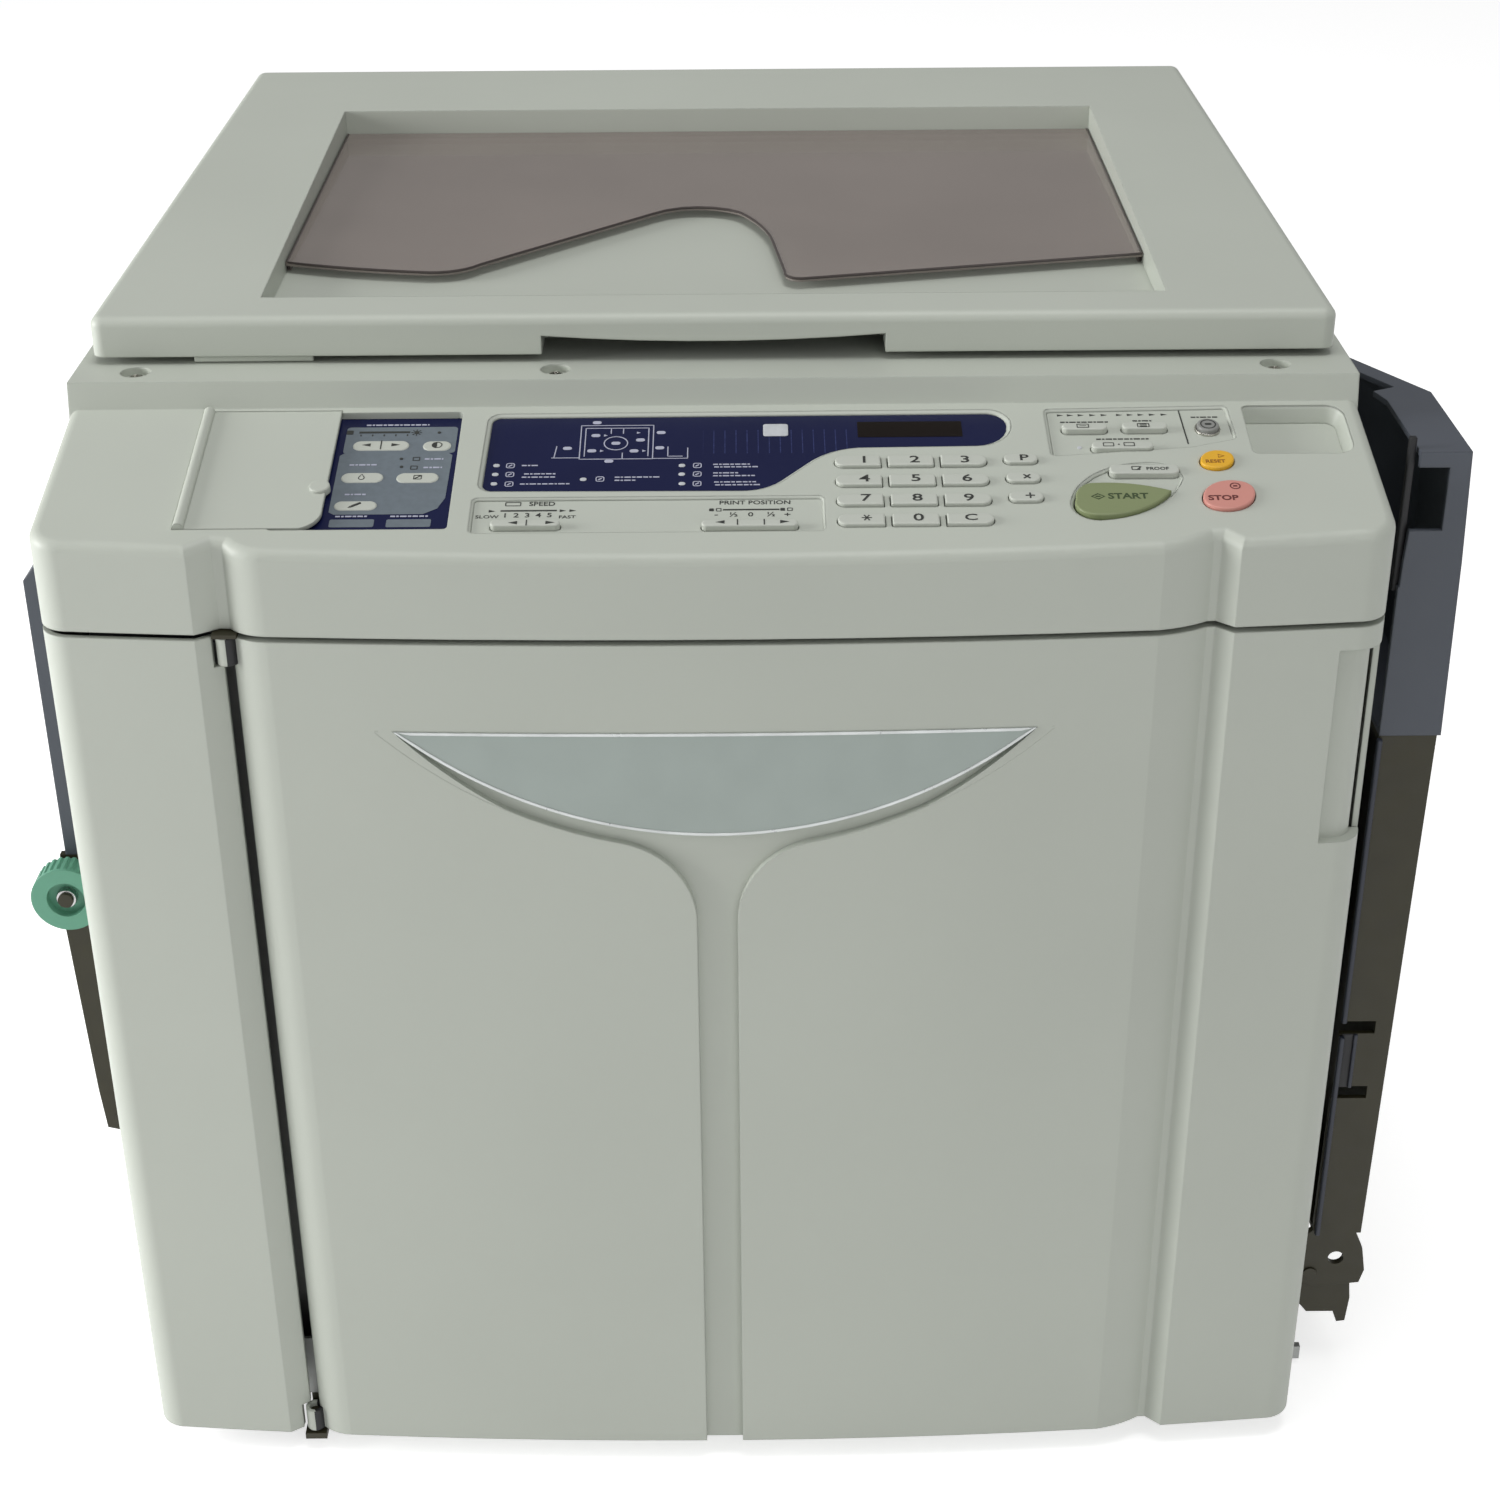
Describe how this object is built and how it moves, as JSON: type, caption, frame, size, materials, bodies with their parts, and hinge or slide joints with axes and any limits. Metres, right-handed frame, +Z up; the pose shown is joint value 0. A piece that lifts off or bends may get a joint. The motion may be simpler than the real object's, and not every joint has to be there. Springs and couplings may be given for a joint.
{
  "type": "digital duplicator",
  "caption": "Desktop digital duplicator with a flatbed scanner lid, a sloping key panel, a full-height front door and folded feed and receiving trays.",
  "frame": {"origin": "centre of the bounding box's footprint, on the floor under the feet", "axes": "+X to the operator's right (the receiving tray's side), +Y from the front door to the back, +Z up"},
  "size_m": [0.7395, 0.6193, 0.6378],
  "materials": {
    "casing": "fine moulded texture, satin",
    "glass": "clear polished",
    "navy_film": "printed film, gloss",
    "smoked": "smoked transparent, gloss",
    "foam": "white film on foam",
    "badge": "satin silver",
    "zinc_steel": "zinc plated",
    "rail_steel": "ground",
    "rubber": "matte",
    "dark_plastic": "matte",
    "drum_metal": "fine screen",
    "master_paper": "paper roll",
    "motor_metal": "satin black",
    "tray_plastic": "blue-grey, fine texture",
    "bronze_steel": "dark bronze, satin",
    "dial_green": "satin",
    "key_white": "satin",
    "key_grey": "satin",
    "key_green": "satin",
    "key_pink": "satin",
    "key_yellow": "satin"
  },
  "bodies": {
    "chassis": {"base_frame": "zinc_steel", "rubber_feet": "rubber", "front_plate": "zinc_steel", "rear_plate": "zinc_steel", "left_cover": "casing", "right_cover": "casing", "rear_cover": "casing", "left_front_panel": "casing", "upper_casing": "casing", "platen_glass": "glass", "control_windows": "navy_film", "scanner_rail": "rail_steel", "main_motor": "motor_metal", "power_unit": "zinc_steel", "hinge_brackets": "bronze_steel"},
    "door": {"front_door": "casing", "door_badge": "badge"},
    "lid": {"platen_cover": "casing", "platen_pad": "foam", "document_sheet": "smoked"},
    "flap": {"panel_flap": "casing"},
    "carriage": {"scanner_carriage": "dark_plastic"},
    "drum": {"print_drum": "drum_metal"},
    "press": {"pressure_roller": "rubber"},
    "master": {"master_roll": "master_paper"},
    "feed": {"feed_tray": "tray_plastic", "feed_tray_frame": "bronze_steel"},
    "dial": {"adjusting_dial": "dial_green"},
    "exit": {"receiving_tray": "bronze_steel", "receiving_hood": "tray_plastic"},
    "key_1": {"key_1": "key_white"},
    "key_2": {"key_2": "key_white"},
    "key_3": {"key_3": "key_white"},
    "key_4": {"key_4": "key_white"},
    "key_5": {"key_5": "key_white"},
    "key_6": {"key_6": "key_white"},
    "key_7": {"key_7": "key_white"},
    "key_8": {"key_8": "key_white"},
    "key_9": {"key_9": "key_white"},
    "key_star": {"key_star": "key_white"},
    "key_0": {"key_0": "key_white"},
    "key_clear": {"key_clear": "key_white"},
    "key_program": {"key_program": "key_white"},
    "key_times": {"key_times": "key_white"},
    "key_plus": {"key_plus": "key_white"},
    "proof_key": {"proof_key": "key_white"},
    "image_key_line": {"image_key_line": "key_white"},
    "image_key_photo": {"image_key_photo": "key_white"},
    "image_key_duo": {"image_key_duo": "key_white"},
    "scan_level_key": {"scan_level_key": "key_white"},
    "auto_level_key": {"auto_level_key": "key_white"},
    "ink_save_key": {"ink_save_key": "key_white"},
    "double_feed_key": {"double_feed_key": "key_white"},
    "pencil_key": {"pencil_key": "key_white"},
    "speed_key": {"speed_key": "key_white"},
    "position_key": {"position_key": "key_white"},
    "interval_key": {"interval_key": "key_grey"},
    "start_key": {"start_key": "key_green"},
    "stop_key": {"stop_key": "key_pink"},
    "reset_key": {"reset_key": "key_yellow"}
  },
  "joints": [
    {"name": "door_hinge", "type": "hinge", "parent": "chassis", "child": "door", "pos_m": [-0.2305, -0.29421, 0.261], "axis": [0, 0, -1], "range_deg": [0, 100]},
    {"name": "lid_hinge", "type": "hinge", "parent": "chassis", "child": "lid", "pos_m": [0, 0.2985, 0.608], "axis": [-1, 0, 0], "range_deg": [0, 75]},
    {"name": "flap_hinge", "type": "hinge", "parent": "chassis", "child": "flap", "pos_m": [-0.2494, -0.23635, 0.56885], "axis": [0, -0.9742, -0.2255], "range_deg": [0, 105]},
    {"name": "carriage_slide", "type": "slide", "parent": "chassis", "child": "carriage", "axis": [1, 0, 0], "range_m": [0, 0.42]},
    {"name": "drum_spin", "type": "hinge", "parent": "chassis", "child": "drum", "pos_m": [0.02, -0.0635, 0.31], "axis": [0, 1, 0], "continuous": true},
    {"name": "press_spin", "type": "hinge", "parent": "chassis", "child": "press", "pos_m": [0.02, -0.0635, 0.1956], "axis": [0, 1, 0], "continuous": true},
    {"name": "master_spin", "type": "hinge", "parent": "chassis", "child": "master", "pos_m": [-0.205, -0.0635, 0.44], "axis": [0, 1, 0], "continuous": true},
    {"name": "feed_tray_hinge", "type": "hinge", "parent": "chassis", "child": "feed", "pos_m": [-0.332, -0.0235, 0.184], "axis": [0, -1, 0], "range_deg": [0, 90]},
    {"name": "dial_turn", "type": "hinge", "parent": "feed", "child": "dial", "pos_m": [-0.339, -0.2445, 0.336], "axis": [0, 1, 0], "continuous": true},
    {"name": "exit_tray_hinge", "type": "hinge", "parent": "chassis", "child": "exit", "pos_m": [0.337, -0.0235, 0.068], "axis": [0, 1, 0], "range_deg": [0, 80]},
    {"name": "key_1_press", "type": "slide", "parent": "chassis", "child": "key_1", "axis": [0, 0.2255, -0.9742], "range_m": [0, 0.0012], "stiffness_N_per_m": 400},
    {"name": "key_2_press", "type": "slide", "parent": "chassis", "child": "key_2", "axis": [0, 0.2255, -0.9742], "range_m": [0, 0.0012], "stiffness_N_per_m": 400},
    {"name": "key_3_press", "type": "slide", "parent": "chassis", "child": "key_3", "axis": [0, 0.2255, -0.9742], "range_m": [0, 0.0012], "stiffness_N_per_m": 400},
    {"name": "key_4_press", "type": "slide", "parent": "chassis", "child": "key_4", "axis": [0, 0.2255, -0.9742], "range_m": [0, 0.0012], "stiffness_N_per_m": 400},
    {"name": "key_5_press", "type": "slide", "parent": "chassis", "child": "key_5", "axis": [0, 0.2255, -0.9742], "range_m": [0, 0.0012], "stiffness_N_per_m": 400},
    {"name": "key_6_press", "type": "slide", "parent": "chassis", "child": "key_6", "axis": [0, 0.2255, -0.9742], "range_m": [0, 0.0012], "stiffness_N_per_m": 400},
    {"name": "key_7_press", "type": "slide", "parent": "chassis", "child": "key_7", "axis": [0, 0.2255, -0.9742], "range_m": [0, 0.0012], "stiffness_N_per_m": 400},
    {"name": "key_8_press", "type": "slide", "parent": "chassis", "child": "key_8", "axis": [0, 0.2255, -0.9742], "range_m": [0, 0.0012], "stiffness_N_per_m": 400},
    {"name": "key_9_press", "type": "slide", "parent": "chassis", "child": "key_9", "axis": [0, 0.2255, -0.9742], "range_m": [0, 0.0012], "stiffness_N_per_m": 400},
    {"name": "key_star_press", "type": "slide", "parent": "chassis", "child": "key_star", "axis": [0, 0.2255, -0.9742], "range_m": [0, 0.0012], "stiffness_N_per_m": 400},
    {"name": "key_0_press", "type": "slide", "parent": "chassis", "child": "key_0", "axis": [0, 0.2255, -0.9742], "range_m": [0, 0.0012], "stiffness_N_per_m": 400},
    {"name": "key_clear_press", "type": "slide", "parent": "chassis", "child": "key_clear", "axis": [0, 0.2255, -0.9742], "range_m": [0, 0.0012], "stiffness_N_per_m": 400},
    {"name": "key_program_press", "type": "slide", "parent": "chassis", "child": "key_program", "axis": [0, 0.2255, -0.9742], "range_m": [0, 0.0012], "stiffness_N_per_m": 400},
    {"name": "key_times_press", "type": "slide", "parent": "chassis", "child": "key_times", "axis": [0, 0.2255, -0.9742], "range_m": [0, 0.0012], "stiffness_N_per_m": 400},
    {"name": "key_plus_press", "type": "slide", "parent": "chassis", "child": "key_plus", "axis": [0, 0.2255, -0.9742], "range_m": [0, 0.0012], "stiffness_N_per_m": 400},
    {"name": "proof_key_press", "type": "slide", "parent": "chassis", "child": "proof_key", "axis": [0, 0.2255, -0.9742], "range_m": [0, 0.0012], "stiffness_N_per_m": 400},
    {"name": "image_key_line_press", "type": "slide", "parent": "chassis", "child": "image_key_line", "axis": [0, 0.2255, -0.9742], "range_m": [0, 0.0012], "stiffness_N_per_m": 400},
    {"name": "image_key_photo_press", "type": "slide", "parent": "chassis", "child": "image_key_photo", "axis": [0, 0.2255, -0.9742], "range_m": [0, 0.0012], "stiffness_N_per_m": 400},
    {"name": "image_key_duo_press", "type": "slide", "parent": "chassis", "child": "image_key_duo", "axis": [0, 0.2255, -0.9742], "range_m": [0, 0.0012], "stiffness_N_per_m": 400},
    {"name": "scan_level_key_tilt", "type": "hinge", "parent": "chassis", "child": "scan_level_key", "pos_m": [-0.1624, -0.21261, 0.57003], "axis": [0, 0.9742, 0.2255], "range_deg": [-2.5, 2.5], "stiffness_Nm_per_rad": 0.3},
    {"name": "auto_level_key_press", "type": "slide", "parent": "chassis", "child": "auto_level_key", "axis": [0, 0.2255, -0.9742], "range_m": [0, 0.0012], "stiffness_N_per_m": 400},
    {"name": "ink_save_key_press", "type": "slide", "parent": "chassis", "child": "ink_save_key", "axis": [0, 0.2255, -0.9742], "range_m": [0, 0.0012], "stiffness_N_per_m": 400},
    {"name": "double_feed_key_press", "type": "slide", "parent": "chassis", "child": "double_feed_key", "axis": [0, 0.2255, -0.9742], "range_m": [0, 0.0012], "stiffness_N_per_m": 400},
    {"name": "pencil_key_press", "type": "slide", "parent": "chassis", "child": "pencil_key", "axis": [0, 0.2255, -0.9742], "range_m": [0, 0.0012], "stiffness_N_per_m": 400},
    {"name": "speed_key_tilt", "type": "hinge", "parent": "chassis", "child": "speed_key", "pos_m": [-0.0875, -0.28317, 0.55739], "axis": [0, 0.9742, 0.2255], "range_deg": [-2.5, 2.5], "stiffness_Nm_per_rad": 0.3},
    {"name": "position_key_tilt", "type": "hinge", "parent": "chassis", "child": "position_key", "pos_m": [0.0174, -0.28444, 0.5571], "axis": [0, 0.9742, 0.2255], "range_deg": [-2, 2], "stiffness_Nm_per_rad": 0.3},
    {"name": "interval_key_press", "type": "slide", "parent": "chassis", "child": "interval_key", "axis": [0, 0.2255, -0.9742], "range_m": [0, 0.0012], "stiffness_N_per_m": 400},
    {"name": "start_key_press", "type": "slide", "parent": "chassis", "child": "start_key", "axis": [0, 0.2255, -0.9742], "range_m": [0, 0.0012], "stiffness_N_per_m": 400},
    {"name": "stop_key_press", "type": "slide", "parent": "chassis", "child": "stop_key", "axis": [0, 0.2255, -0.9742], "range_m": [0, 0.0012], "stiffness_N_per_m": 400},
    {"name": "reset_key_press", "type": "slide", "parent": "chassis", "child": "reset_key", "axis": [0, 0.2255, -0.9742], "range_m": [0, 0.0012], "stiffness_N_per_m": 400}
  ],
  "couplings": [
    {"joint": "press_spin", "follows": "drum_spin", "ratio": -3.75}
  ]
}
